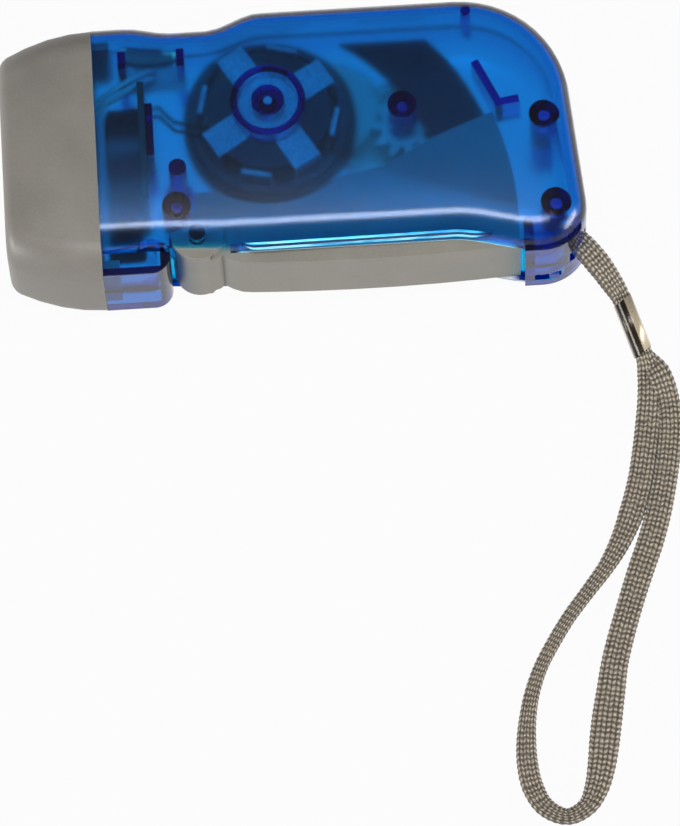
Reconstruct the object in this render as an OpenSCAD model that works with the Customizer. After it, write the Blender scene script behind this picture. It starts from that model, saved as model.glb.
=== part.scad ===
// Hand-press dynamo torch: squeezing the lever drives a rack, a gear train and a flywheel generator.
// The torch lies on its broad side. The beam points to -X, the switch is on the +Y edge, the lever on -Y.

/* [Body] */
// Length of the blue body from its seam with the head to its tail
body_len = 87.5; // [85:0.1:95]
// Thickness of the body across its broad sides
body_t = 25; // [24.6:0.1:27]
// Wall of the two shells
wall = 1.8; // [1.5:0.1:2]
// Radius round the broad faces
edge_r = 5; // [4:0.1:5.4]
// Height of the back above the head's axis
back_h = 25.5; // [25.2:0.1:28]
// Height of the upper edge where it meets the head
neck_h = 23.9; // [23.5:0.1:24.6]
// Drop from the neck to the thumb recess at the switch
recess_drop = 1.3; // [0.6:0.1:1.6]
// Depth of the lower edge behind the head
belly_h = 19.9; // [19.6:0.1:20.6]
// Depth of the lower edge over the lever
waist_h = 20.6; // [20.2:0.1:21]
// Depth of the lower edge at the heel
heel_h = 23.3; // [22.8:0.1:23.6]
// Radius of the upper tail corner
tail_r = 20; // [16:0.5:22]
// Radius of the heel corner
heel_r = 8.4; // [7:0.1:9]
// Depth of the two end blocks that flank the lever
block_h = 23.8; // [23.5:0.1:25]
// Width of the end blocks across the thickness
block_w = 17.6; // [16:0.1:18.4]

/* [Head] */
// Length of the grey head
head_len = 17.1; // [16:0.1:20]
// Half height of the head at the seam
head_h = 24.2; // [23.8:0.1:24.8]
// Half height of the head at the front rim
head_front_h = 19.7; // [19.3:0.1:21]
// Thickness of the head at the front rim
head_front_t = 22.4; // [21.8:0.1:24]
// Corner radius of the head's section
head_corner_r = 6; // [4.5:0.1:7]
// Length of the lens window in the head
window_l = 33; // [31:0.5:34]
// Width of the lens window in the head
window_w = 15; // [14:0.1:16]
// Thickness of the lens
lens_t = 1.5; // [1:0.1:2]
// Distance between neighbouring lamps
led_pitch = 11; // [10.6:0.1:11.4]
// Diameter of one lamp
led_d = 5; // [4.6:0.1:5.2]

/* [Lever] */
// Distance of the lever pivot behind the seam
pivot_x = 17.3; // [17:0.1:17.8]
// Depth of the lever pivot below the head's axis
pivot_h = 17; // [16.6:0.1:17.2]
// Diameter of the pivot pin
pivot_d = 3; // [2:0.1:3.4]
// Radius of the lever's knuckle round the pivot
knuckle_r = 4.7; // [4.4:0.05:4.8]
// Width of the lever across the thickness
lever_w = 15; // [14.4:0.1:15.4]
// Width of the lever's knuckle across the thickness
knuckle_w = 18.4; // [17.8:0.1:18.6]
// Depth of the lever's grip face at its middle
grip_h = 23; // [22.6:0.1:23.4]
// Wall of the lever
lever_wall = 1.6; // [1.4:0.1:2]
// Reach of the lever from its pivot
lever_reach = 58; // [57.5:0.1:58.2]

/* [Gears] */
// Teeth of the full circle that the rack is a part of
rack_teeth = 98; // [98:1:98]
// Teeth of each small pinion
pinion_teeth = 10; // [10:1:10]
// Module of the rack and its pinion
rack_m = 1; // [1:0.1:1]
// Teeth of the drive gear
drive_teeth = 38; // [36:1:39]
// Module of the drive gear
drive_m = 0.6; // [0.58:0.01:0.62]
// Teeth of the intermediate wheel
mid_teeth = 36; // [36:1:38]
// Module of the intermediate wheel
mid_m = 0.5; // [0.49:0.01:0.52]
// Diameter of the gear axles
axle_d = 1.8; // [1.4:0.1:2]

/* [Generator] */
// Distance of the flywheel axis behind the seam
rotor_x = 31.3; // [31:0.1:31.6]
// Clearance between the flywheel's rim and the wall of the back
rim_gap = 0.7; // [0.6:0.1:1.2]
// Diameter of the flywheel
flywheel_d = 31.4; // [30.4:0.1:31.8]
// Diameter of the magnet ring
magnet_d = 28.8; // [28:0.1:29]
// Diameter of the rotor shaft
shaft_d = 1.5; // [1.2:0.1:1.6]
// Reach of the stator's claw arms from the axis
claw_reach = 12.6; // [12:0.1:12.8]
// Width of one claw arm
claw_w = 5.4; // [4.4:0.1:5.8]

/* [Strap] */
// Width of the braided strap
strap_w = 4.4; // [4:0.1:4.8]
// Thickness of the braided strap
strap_t = 1.5; // [1.2:0.1:1.5]
// Length of the strap's ferrule
ferrule_len = 10.2; // [8:0.1:11]

/* [Hidden] */
$fn = 48;

// Clearances: running fit, free gap between moving pieces, snug gap between fixed pieces
fit = 0.04;
gap = 0.4;
snug = 0.1;

// Frame: the seam's X and the head axis's Y, so that the whole torch is centred on the origin
seam_x = (head_len - body_len) / 2;
axis_y = (block_h - back_h) / 2;
mid_z = body_t / 2;
floor_z = wall;
roof_z = body_t - wall;
big = 200;

// Upper edge: a dip to the thumb recess, then a rise to the back
recess_h = neck_h - recess_drop;
dip_x = 6;
dip_run = 8.3;
rise_x = 20.6;
rise_run = 9.8;
// Lower edge: a lift over the lever, then a drop to the heel
lift_x = 8;
lift_run = 14;
drop_x = body_len - 24.5;
drop_run = 15;
// Corners of the tail
tail_c = [body_len - 1.7 - tail_r, back_h - tail_r];
heel_c = [body_len - heel_r, heel_r - heel_h];
tail_lean = acos((tail_r - heel_r) / norm(tail_c - heel_c)) - atan2(tail_c.y - heel_c.y, heel_c.x - tail_c.x);
// Outline starts this far in front of the seam, where it is cut off
front_x = -9;
side_x = -3;
edge_step = 2.2;

function smooth(t) = let (c = min(1, max(0, t))) c * c * (3 - 2 * c);
function upper_edge(x) = neck_h - (neck_h - recess_h) * smooth((x - dip_x) / dip_run)
  + (back_h - recess_h) * smooth((x - rise_x) / rise_run);
function lower_edge(x) = -belly_h + (belly_h - waist_h) * smooth((x - lift_x) / lift_run)
  - (heel_h - waist_h) * smooth((x - drop_x) / drop_run);
function arc(c, r, a0, a1, n) = [for (i = [0 : n]) let (a = a0 + (a1 - a0) * i / n) c + r * [cos(a), sin(a)]];
function steps(a, b, d) = let (n = ceil(abs(b - a) / d)) [for (i = [0 : n]) a + (b - a) * i / n];
outline = concat(
  [[front_x, -belly_h]],
  [for (x = steps(side_x, heel_c.x - 1, edge_step)) [x, lower_edge(x)]],
  arc(heel_c, heel_r, -86, tail_lean, 9),
  arc(tail_c, tail_r, tail_lean + 3, 90, 12),
  [for (x = steps(tail_c.x - 2, side_x, edge_step)) [x, upper_edge(x)]],
  [[front_x, neck_h]]
);
count = len(outline);
function normal(i) = let (d = outline[(i + 1) % count] - outline[i % count]) [d.y, -d.x] / norm(d);
outward = [for (i = [0 : count - 1])
  let (n = normal(i), m = normal(i + count - 1)) (n + m) / (1 + n * m)];
function ring(inset, z) = [for (i = [0 : count - 1])
  let (p = outline[i] - outward[i] * inset) [p.x, p.y, z]];

// Closed skin over a list of rings with equal counts, each ring anticlockwise seen from its first ring's side
function strip(n) = concat(
  [for (i = [0 : floor(n / 2) - 2]) each [[i, i + 1, n - 2 - i], [i, n - 2 - i, n - 1 - i]]],
  n % 2 == 1 ? [[floor(n / 2) - 1, floor(n / 2), floor(n / 2) + 1]] : []
);
module skin(rings) {
  n = len(rings[0]);
  m = len(rings);
  polyhedron(
    points = [for (r = rings) each r],
    faces = concat(
      [for (f = strip(n)) [f[2], f[1], f[0]]],
      [for (k = [0 : m - 2], i = [0 : n - 1]) [k * n + i, k * n + (i + 1) % n, (k + 1) * n + (i + 1) % n]],
      [for (k = [0 : m - 2], i = [0 : n - 1]) [k * n + i, (k + 1) * n + (i + 1) % n, (k + 1) * n + i]],
      [for (f = strip(n)) [for (i = f) (m - 1) * n + i]]
    )
  );
}

module place() {
  translate([seam_x, axis_y, 0]) children();
}
module at(p, z = 0) {
  translate([p.x, p.y, z]) children();
}
module rod(r, z0, z1) {
  translate([0, 0, z0]) cylinder(r = r, h = z1 - z0);
}
module tube(r_out, r_in, z0, z1) {
  difference() {
    rod(r_out, z0, z1);
    rod(r_in, z0 - 1, z1 + 1);
  }
}
module box(a, b) {
  translate(a) cube(b - a);
}
// Plate across the head, between two planes of X, with round corners
module head_plate(half_y, half_z, r, x0, x1) {
  translate([x0, 0, mid_z]) rotate([90, 0, 90]) linear_extrude(x1 - x0) {
    square([2 * half_y - 2 * r, 2 * half_z], center = true);
    square([2 * half_y, 2 * half_z - 2 * r], center = true);
    for (y = [-1, 1], z = [-1, 1]) translate([y * (half_y - r), z * (half_z - r)]) circle(r);
  }
}

// Places of the bosses, ribs and axes in plan, from the seam and the head's axis
pivot = [pivot_x, -pivot_h];
rotor_h = back_h - wall - rim_gap - flywheel_d / 2;
rotor = [rotor_x, rotor_h];
rack_r = rack_m * rack_teeth / 2;
input_r = rack_m * pinion_teeth / 2;
drive_angle = 30;
drive = pivot + (rack_r - input_r) * [cos(drive_angle), sin(drive_angle)];
drive_r = drive_m * drive_teeth / 2;
mid_r = mid_m * mid_teeth / 2;
mid_to_drive = drive_r + drive_m * pinion_teeth / 2;
mid_to_rotor = mid_r + mid_m * pinion_teeth / 2;
span = norm(drive - rotor);
along = (drive - rotor) / span;
mid_run = (span * span + mid_to_rotor * mid_to_rotor - mid_to_drive * mid_to_drive) / (2 * span);
mid_rise = sqrt(mid_to_rotor * mid_to_rotor - mid_run * mid_run);
mid_axis = rotor + mid_run * along + mid_rise * [-along.y, along.x];
screw_front = [13.9, -11.9];
screw_heel = [body_len - 5.7, -15.4];
screw_tail = [body_len - 6.8, 1.6];
screws = [screw_front, screw_heel, screw_tail];
locator_front = [14.4, -4.6];
locator_back = [67.9, back_h - 3.1];
boss_r = 2.6;
screw_r = 1;
screw_head_r = 1.9;
screw_head_t = 1.4;
locator_r = 1.6;

// Heights of the gear train and the generator above the broad side
seat_z = 0.9;
pin_seat = 2.1;
drive_z0 = floor_z + 0.6;
drive_z1 = drive_z0 + 3.4;
clutch_z0 = drive_z0 + 1.2;
clutch_z1 = drive_z1 - 0.2;
mid_z0 = drive_z1 + 0.5;
mid_z1 = mid_z0 + 2;
input_z0 = mid_z1 + 0.5;
input_z1 = input_z0 + 3.6;
fly_z0 = mid_z1 + 1.1;
fly_z1 = fly_z0 + 2.8;
magnet_z1 = fly_z1 + 2.6;
fly_web = 1.5;
plate_t = 0.8;
stator_z0 = fly_z0 + fly_web + 0.4;
stator_z1 = roof_z - 3.8;
coil_z0 = stator_z0 + plate_t;
coil_z1 = stator_z1 - plate_t;
claw_turn = 31.5;
core_r = 2.8;
core_bore_r = 1.7;
bush_len = 2.4;
hub_r = 6.2;

// Lever levels and places
lever_z0 = mid_z - lever_w / 2;
lever_z1 = mid_z + lever_w / 2;
cheek_reach = 5;
stop_r = lever_reach + 1.4;
slot_z1 = lever_z1 + gap;
slot_x0 = pivot.x - knuckle_r - gap;
slot_x1 = pivot.x + lever_reach + 0.6;
grip_bow = 0.9;
plate_top = -8.4;
rack_a0 = 21;
rack_a1 = 55;
rack_top = back_h - 4.3;
rack_out_r = rack_r + 8.5;
rack_z0 = input_z0 - 0.2;
rack_z1 = input_z1 + 1.6;
rack_rim_r = rack_r - input_r + boss_r + gap;
tenon_z1 = lever_z1 - lever_wall;
tenon_a0 = 9;
tenon_in_r = rack_r + 1.4;
tenon_out_r = rack_out_r - 2.5;

// Spring on the pivot pin
wire_r = 0.4;
spring_r = pivot_d / 2 + 0.9;
spring_turns = 3.75;
spring_pitch = 1.3;
ear_gap = 9;

// Switch in the upper edge
switch_x = 10.6;
switch_y1 = recess_h - 4.3;
switch_y0 = switch_y1 - 3.4;
switch_half = 2.2;
ear_half_l = 5.3;
stem_y1 = switch_y1 + 2;
travel = 2.5;
rib_t = 1.4;

// Lamps and boards
led_board_x0 = -1.4;
led_x0 = led_board_x0 - 8.6;
lens_x0 = 1.3 - head_len;
lens_x1 = lens_x0 + lens_t;
board_x0 = 7.8;
board_x1 = 9;
cell_len = 6.3;

// Lever catch in the heel block
catch_y0 = grip_bow + lever_wall + 2 * gap - grip_h;
catch_y1 = catch_y0 + 1.4;
catch_half = 2;
catch_travel = 2.2;
catch_x0 = slot_x1 + 0.1;
pad_x0 = catch_x0 + wall + catch_travel + 0.3;
pad_x1 = pad_x0 + 1.8;
pad_z0 = mid_z - 6;
pad_z1 = mid_z - 4;

// Strap route from the heel's post through the ferrule, round the loop and back, from the seam and the axis
strap_turn = -47;
neck_start = screw_heel + (boss_r + 0.1) * [cos(strap_turn), sin(strap_turn)];
neck_points = [
  [neck_start.x, neck_start.y, mid_z], [86.6, -20.2, 12.4], [89.2, -23.2, 11], [91.6, -26.4, 8.6]
];
ferrule_a = [93.1, -28.8, 6.8];
ferrule_b = [96.3, -37.8, 3.4];
loop_points = [
  [97.2, -41.5, 2], [97, -46, 1.2], [96.3, -51, 0.8], [95.4, -56, 0.8], [94.2, -61.5, 0.8],
  [92.3, -67.5, 0.8], [89.8, -73, 0.8], [87, -77.5, 0.8], [83.4, -82, 0.8], [79.8, -86.5, 0.8],
  [76.8, -91, 0.8], [74.2, -95.5, 0.8], [72.4, -100, 0.8], [71.3, -104.5, 0.8], [70.7, -109, 0.8],
  [70.6, -113.5, 0.8], [71.3, -118, 0.8], [73.3, -121.8, 0.8], [77, -123.8, 0.8], [80.6, -122.2, 0.8],
  [82.8, -118.8, 0.8], [84.2, -114.5, 0.8], [85.2, -110, 0.8], [86, -105.5, 0.8], [86.8, -101, 0.8],
  [87.6, -96, 0.8], [88.8, -91.5, 0.8], [90.3, -87, 0.8], [91.9, -82.5, 0.8], [93.6, -78, 0.8],
  [95.2, -73.5, 0.8], [97.1, -67.8, 0.8], [98.7, -61.5, 0.8], [99.8, -56, 0.8], [100.4, -51, 0.8],
  [100.2, -46, 1.2], [98.9, -41.5, 2.4]
];

// Rounded section of the two shells
shell_rings = concat(
  [for (a = [90 : -22.5 : 0]) ring(edge_r * (1 - cos(a)), body_t - edge_r + edge_r * sin(a))],
  [ring(0, mid_z), ring(wall, mid_z)],
  [
    for (a = [0 : 30 : 90])
      ring(edge_r - (edge_r - wall) * cos(a), body_t - edge_r + (edge_r - wall) * sin(a))
  ]
);

// Upper half of an end block, from its plan shape
module block(h) {
  translate([0, 0, mid_z]) linear_extrude(h) children();
}
module front_block_plan() {
  r = 3.4;
  top = wall / 2 - belly_h;
  translate([0, -block_h]) square([slot_x0 - r, block_h + top]);
  translate([slot_x0 - r, r - block_h]) circle(r);
  translate([0, r - block_h]) square([slot_x0, top + block_h - r]);
}
heel_top = wall + 4 - heel_h;
module heel_block_plan() {
  intersection() {
    union() {
      translate(heel_c) circle(heel_r + block_h - heel_h);
      translate([slot_x1, -block_h]) square([heel_c.x - slot_x1, heel_r]);
    }
    translate([slot_x1, -block_h]) square([body_len - 1.2 - slot_x1, block_h + heel_top]);
  }
}

// Half of the case with the openings that both halves share
module half_case() {
  difference() {
    union() {
      skin(shell_rings);
      block(block_w / 2) front_block_plan();
      block(block_w / 2) heel_block_plan();
    }
    box([-big, -big, 0], [0, big, big]);
    box([slot_x0, -big, 0], [slot_x1, -waist_h + wall + 2, slot_z1]);
    box([-1, wall - block_h, 0], [slot_x0 - wall, wall - belly_h + 1, mid_z + block_w / 2 - wall]);
    box([slot_x1 + wall, wall - block_h, 0], [heel_c.x + 4, heel_top + 1, mid_z + block_w / 2 - wall]);
    box([slot_x1 - 1, catch_y0 - gap, 0], [slot_x1 + wall + 1, catch_y1 + gap, mid_z + catch_half + gap]);
    box([switch_x - 5.2, switch_y1, 0], [switch_x + 5.2, big, mid_z + 3.4]);
    at(screw_heel, mid_z) rotate(strap_turn)
      box([boss_r, -strap_w / 2 - 0.8, -big], [big, strap_w / 2 + 0.8, strap_t + 0.6]);
    at(pivot) rod(pivot_d / 2, 0, body_t - pin_seat);
    at(pivot) rod(knuckle_r + gap, 0, mid_z + knuckle_w / 2 + gap);
    box(
      [slot_x0, -big, 0],
      [pivot.x + cheek_reach + 2 * gap, gap - pivot_h, mid_z + knuckle_w / 2 + gap]
    );
  }
}

module rib(a, b, z0, z1) {
  d = b - a;
  at(a) rotate(atan2(d.y, d.x)) box([-rib_t / 2, -rib_t / 2, z0], [norm(d) + rib_t / 2, rib_t / 2, z1]);
}

// Upper blue shell: bearing collar for the stator, bosses, ribs and locating pins
module shell_upper() {
  top = roof_z + wall / 2;
  color([0.02, 0.25, 0.75, 0.6]) place() difference() {
    union() {
      half_case();
      at(rotor) tube(hub_r + 0.6, hub_r - 0.7, stator_z1, top);
      at(rotor) rod(3, stator_z1, top);
      at(drive) rod(boss_r, input_z1 + gap, top);
      for (p = screws) at(p) rod(boss_r, mid_z, top);
      at(locator_front) rod(locator_r, mid_z - 2, top);
      at(locator_back) rod(0.9, mid_z, top);
      rib(pivot + polar(stop_r, 29.1), pivot + polar(stop_r, 21), mid_z + 3, top);
      rib(pivot + polar(stop_r, 21), pivot + polar(stop_r + 3, 20.4), mid_z + 3, top);
      box([board_x1, -2, mid_z + 1], [board_x1 + rib_t, 8, top]);
      for (s = [-1, 1]) box(
        [switch_x + s * ear_half_l - rib_t / 2, switch_y0, mid_z + switch_half],
        [switch_x + s * ear_half_l + rib_t / 2, switch_y1, top]
      );
    }
    at(rotor) rod(shaft_d / 2 + 0.15, 0, roof_z);
    at(drive) rod(axle_d / 2, 0, roof_z - 2);
    for (p = screws) at(p) rod(screw_r, 0, roof_z - 2);
  }
}

// Lower blue shell: screw bosses with counterbores, axle seats and the catch's thumb slot
module shell_lower() {
  low = wall / 2;
  color([0.02, 0.25, 0.75, 0.6]) place() difference() {
    union() {
      translate([0, 0, body_t]) mirror([0, 0, 1]) half_case();
      at(rotor) rod(boss_r, low, drive_z0 + bush_len);
      at(drive) rod(boss_r, low, drive_z0 - 0.1);
      at(mid_axis) rod(1.8, low, drive_z0 - 0.1);
      for (p = screws) at(p) rod(boss_r, low, mid_z);
      at(locator_front) rod(boss_r, low, mid_z - 2.2);
      box([board_x1, -2, low], [board_x1 + rib_t, 8, mid_z - 1]);
      for (s = [-1, 1]) box(
        [switch_x + s * ear_half_l - rib_t / 2, switch_y0, low],
        [switch_x + s * ear_half_l + rib_t / 2, switch_y1, mid_z - switch_half]
      );
    }
    at(rotor) rod(core_bore_r, drive_z0, big);
    at(rotor) rod(shaft_d / 2 + 0.15, seat_z, big);
    at(drive) rod(axle_d / 2, seat_z, big);
    at(mid_axis) rod(axle_d / 2, seat_z, big);
    for (p = screws) at(p) {
      rod(screw_head_r + 0.2, -1, screw_head_t + 0.6);
      rod(screw_r + 0.2, -1, big);
    }
    at(locator_front) rod(locator_r + snug, mid_z - 4.5, big);
    box([pad_x0 - catch_travel - gap, -big, pad_z0 - gap], [pad_x1 + gap, catch_y1, pad_z1 + gap]);
  }
}

// Grey head: convex sides that draw in to the front rim, with two tongues trapped between the shells
function head_ring(x, inset) = let (
    u = pow(x / head_len, 2),
    hy = head_h - (head_h - head_front_h) * u - inset,
    hz = mid_z - (mid_z - head_front_t / 2) * u - inset,
    r = head_corner_r - inset
  ) [for (k = [0 : 3], i = [0 : 6]) let (
      sy = (k == 0 || k == 3) ? -1 : 1,
      sz = k < 2 ? 1 : -1,
      b = 90 * k + 15 * i
    ) [x, sy * (hy - r) - r * cos(b), mid_z + sz * (hz - r) + r * sin(b)]];
pocket_y = head_front_h - 1.3;
pocket_z = head_front_t / 2 - 1.7;
module head_bezel() {
  color([0.55, 0.53, 0.49]) place() difference() {
    union() {
      skin(concat(
        [head_ring(-head_len, 1.6), head_ring(0.25 - head_len, 0.8), head_ring(0.8 - head_len, 0.25)],
        [for (x = [1.6 - head_len, -12, -8, -4, 0]) head_ring(x, 0)]
      ));
      box([-2, neck_h - wall - 2, mid_z - 8], [3, neck_h - wall - 0.2, mid_z + 8]);
      box([-2, wall + 0.2 - block_h, mid_z - 6], [3, wall + 2 - block_h, mid_z + 6]);
    }
    head_plate(window_l / 2, window_w / 2, 4, -head_len - 1, lens_x0 + 1);
    head_plate(pocket_y, pocket_z, 4, lens_x0, 1);
  }
}

module lens() {
  color([0.9, 0.95, 1, 0.4]) place() head_plate(pocket_y - snug, pocket_z - snug, 3.9, lens_x0, lens_x1);
}

// Chromed reflector: one cup for each lamp on a common flange
module cup_at(i) {
  translate([0, i * led_pitch, mid_z]) rotate([0, 90, 0]) children();
}
cup_r = led_pitch / 2 - 0.1;
cup_back = -4.4;
module reflector() {
  x1 = lens_x1;
  color([0.85, 0.86, 0.88]) place() difference() {
    union() {
      head_plate(pocket_y - snug, pocket_z - snug, 3.9, x1, x1 + 1);
      for (i = [-1 : 1]) cup_at(i) translate([0, 0, x1])
        cylinder(r1 = cup_r, r2 = led_d / 2 + 1, h = cup_back - x1);
    }
    for (i = [-1 : 1]) cup_at(i) {
      translate([0, 0, x1 - 0.01]) cylinder(r1 = cup_r - 0.7, r2 = led_d / 2 + 0.1, h = cup_back - x1 - 1);
      rod(led_d / 2 + snug, x1, 0);
    }
  }
}

module leds() {
  color([0.95, 0.95, 1, 0.8]) place() for (i = [-1 : 1]) cup_at(i) {
    rod(led_d / 2 + 0.4, led_board_x0 - 1, led_board_x0);
    rod(led_d / 2, led_x0 + led_d / 2, led_board_x0 - 0.5);
    translate([0, 0, led_x0 + led_d / 2]) sphere(r = led_d / 2);
  }
}

module led_board() {
  color([0.1, 0.35, 0.2]) place() head_plate(pocket_y - 0.2, pocket_z - 0.2, 3.8, led_board_x0, 0);
}

// Slide switch clamped by its ears between the shell ribs
module switch_body() {
  color([0.6, 0.6, 0.62]) place() difference() {
    box(
      [switch_x - ear_half_l - rib_t / 2, switch_y0, mid_z - switch_half],
      [switch_x + ear_half_l + rib_t / 2, switch_y1, mid_z + switch_half]
    );
    box([switch_x - 2.6, switch_y1 - 1.4, mid_z - 1.2], [switch_x + 2.6, switch_y1 + 1, mid_z + 1.2]);
  }
}
stem_x = switch_x - travel / 2;
module switch_stem() {
  color([0.08, 0.08, 0.08]) place()
    box([stem_x - 1, switch_y1 - 1.2, mid_z - 1], [stem_x + 1, stem_y1 - 0.6, mid_z + 1]);
}
module switch_slider() {
  color([0.55, 0.53, 0.49]) place() difference() {
    union() {
      box([stem_x - 5, switch_y1 + 0.4, mid_z - 4], [stem_x + 5, stem_y1, mid_z + 4]);
      box([stem_x - 3.4, switch_y1 + 0.4, mid_z - 3], [stem_x + 3.4, recess_h + 1.5, mid_z + 3]);
    }
    box([stem_x - 1, switch_y1, mid_z - 1], [stem_x + 1, stem_y1 - 0.6, mid_z + 1]);
    for (i = [-2 : 2]) translate([stem_x + i * 1.3, recess_h + 1.7, 0]) rod(0.45, mid_z - 4, mid_z + 4);
  }
}

// Board behind the lamps with the rectifier diodes and the rechargeable cell
module control_board() {
  color([0.1, 0.35, 0.2]) place() box([board_x0, -10, floor_z], [board_x1, switch_y0 - 2.4, roof_z - gap]);
}
module board_diodes() {
  color([0.12, 0.12, 0.12]) place() for (i = [0 : 3])
    translate([board_x0 - 0.8, -9 + 1.8 * i, floor_z + 0.4]) rod(0.8, 0, 4);
}
module rechargeable_cell() {
  color([0.75, 0.76, 0.78]) place() translate([board_x0 - cell_len, 2.9, mid_z]) rotate([0, 90, 0]) {
    rod(8, 0.5, cell_len);
    rod(6.8, 0, 0.5);
  }
}

// Tube with an eight-sided section of its own width and thickness at each point of its path
section = [[1, -0.5], [1, 0.5], [0.72, 1], [-0.72, 1], [-1, 0.5], [-1, -0.5], [-0.72, -1], [0.72, -1]];
function unit(v) = v / norm(v);
function tangent(p, i) = unit(p[min(i + 1, len(p) - 1)] - p[max(i - 1, 0)]);
function sweep_rings(p, w, t) = [for (i = [0 : len(p) - 1]) let (
    d = tangent(p, i),
    side = unit(cross(d, [0, 0, 1])),
    up = cross(side, d)
  ) [for (s = section) p[i] + side * s.x * w[i] / 2 + up * s.y * t / 2]];
module wire(p, d) {
  skin(sweep_rings(p, [for (q = p) d], d));
}

// Insulated wires from the switch over to the lamp board
module lamp_wires() {
  z = mid_z + 6;
  color([0.85, 0.82, 0.75]) place() for (k = [0, 1]) {
    y = switch_y0 - 3 - 1.6 * k;
    wire([
      [0.4, y - 1.4, z - 0.8], [1.9, y, z], [5.6, y + 1.6, z + 1], [8.5, y + 3.4, z + 0.6],
      [10.4, y + 4.8, z - 1.2], [10.9, y + 5.2, mid_z + switch_half + 0.3]
    ], 1);
  }
}
// Enamelled leads from the coil, between two claws and over the magnet's rim, to the control board
module coil_leads() {
  z = magnet_z1 + 0.65;
  color([0.65, 0.3, 0.1]) place() for (k = [0, 1]) {
    y = rotor_h - 2.8 + 1.6 * k;
    wire([
      [rotor_x - winding_r + 0.05, y, z], [rotor_x - claw_reach - 0.6, y, z],
      [rotor_x - flywheel_d / 2 - 1.5, y + 1, z],
      [board_x1 + 2.4, 9 + 1.6 * k, z - 1.6], [board_x1 + 0.12, 9.2 + 1.6 * k, z - 2.6]
    ], 0.6);
  }
}

// Tooth form: involute flanks on a blank of the given module, thinned for backlash
pressure = 25;
tooth_up = 0.85;
tooth_down = 1.1;
function polar(r, a) = r * [cos(a), sin(a)];
function roll(a) = tan(a) * 180 / PI - a;
function flank(teeth, m, thin, r) = let (
    base = m * teeth / 2 * cos(pressure)
  ) 90 / teeth - thin * 180 / (PI * m * teeth) + roll(pressure) - (r > base ? roll(acos(base / r)) : 0);
function tooth(teeth, m, thin, radii, k) = concat(
  [for (r = radii) polar(r, 360 * k / teeth - flank(teeth, m, thin, r))],
  [for (i = [len(radii) - 1 : -1 : 0]) polar(radii[i], 360 * k / teeth + flank(teeth, m, thin, radii[i]))]
);
function tooth_radii(r, m, up, down) = [r - down * m, r - 0.45 * down * m, r, r + 0.5 * up * m, r + up * m];
module gear(teeth, m, thin, z0, z1) {
  radii = tooth_radii(m * teeth / 2, m, tooth_up, tooth_down);
  translate([0, 0, z0]) linear_extrude(z1 - z0)
    polygon([for (k = [0 : teeth - 1]) each tooth(teeth, m, thin, radii, k)]);
}
function heading(a, b) = atan2(b.y - a.y, b.x - a.x);
to_mid = heading(drive, mid_axis);
to_rotor = heading(mid_axis, rotor);

// Sector between two radii and two angles round the pivot
module sector(r0, r1, a0, a1, z0, z1) {
  translate([0, 0, z0]) linear_extrude(z1 - z0)
    polygon(concat(arc([0, 0], r0, a0, a1, 10), arc([0, 0], r1, a1, a0, 10)));
}

// Grey press lever: bowed grip strip, knuckle and two side plates, the upper one carrying the rack
grip_x0 = pivot_x + 4.3;
grip_x1 = pivot_x + lever_reach;
grip_mid = (grip_x0 + grip_x1) / 2;
function grip_y(x) = -grip_h + grip_bow * pow((x - grip_mid) / (grip_x1 - grip_mid), 2);
notch_y = -pivot_h - knuckle_r + 1;
grip_line = concat(
  [[pivot_x, notch_y - 0.7], [grip_x0 - 1.4, notch_y - 0.8], [grip_x0 - 0.8, notch_y - 0.6]],
  [[grip_x0, notch_y], [grip_x0 + 1.6, notch_y - 0.9], [grip_x0 + 3.2, notch_y - 1.5]],
  [for (x = steps(grip_x0 + 5, grip_x1 - 0.1, 4)) [x, grip_y(x)]]
);
module cheek_plan() {
  circle(knuckle_r);
  polygon([
    [-1.2, 0.2 - knuckle_r], [cheek_reach - 3, 0.2 - knuckle_r], [cheek_reach, 3.2 - knuckle_r],
    [cheek_reach - 1, 0], [-1.2, 0]
  ]);
}
module grip_plan(depth) {
  polygon(concat(
    grip_line,
    [for (i = [len(grip_line) - 1 : -1 : 0]) [grip_line[i].x, min(grip_line[i].y + depth, -pivot_h)]]
  ));
}
module slab(z0, z1) {
  translate([0, 0, z0]) linear_extrude(z1 - z0) children();
}
module upper_plate_plan() {
  inner = pivot + polar(rack_r - 2.5, rack_a0);
  polygon(concat(
    [[pivot_x, -pivot_h], [grip_x0, -pivot_h - 3]],
    [[grip_x1 - 1, -pivot_h - 3]],
    [for (q = arc(pivot, lever_reach, -2, rack_a0, 8)) q],
    [inner, [inner.x - 9, inner.y - 5], [pivot_x + 19, plate_top], [screw_front.x + boss_r + 0.6, plate_top]]
  ));
}
module lower_plate_plan() {
  polygon(concat(
    [[pivot_x, -pivot_h], [grip_x0, -pivot_h - 3]],
    [[grip_x1 - 1, -pivot_h - 3]],
    arc(pivot, lever_reach, -2, 5, 4),
    [[screw_front.x + boss_r + 0.6, -pivot_h + 5]]
  ));
}
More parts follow.
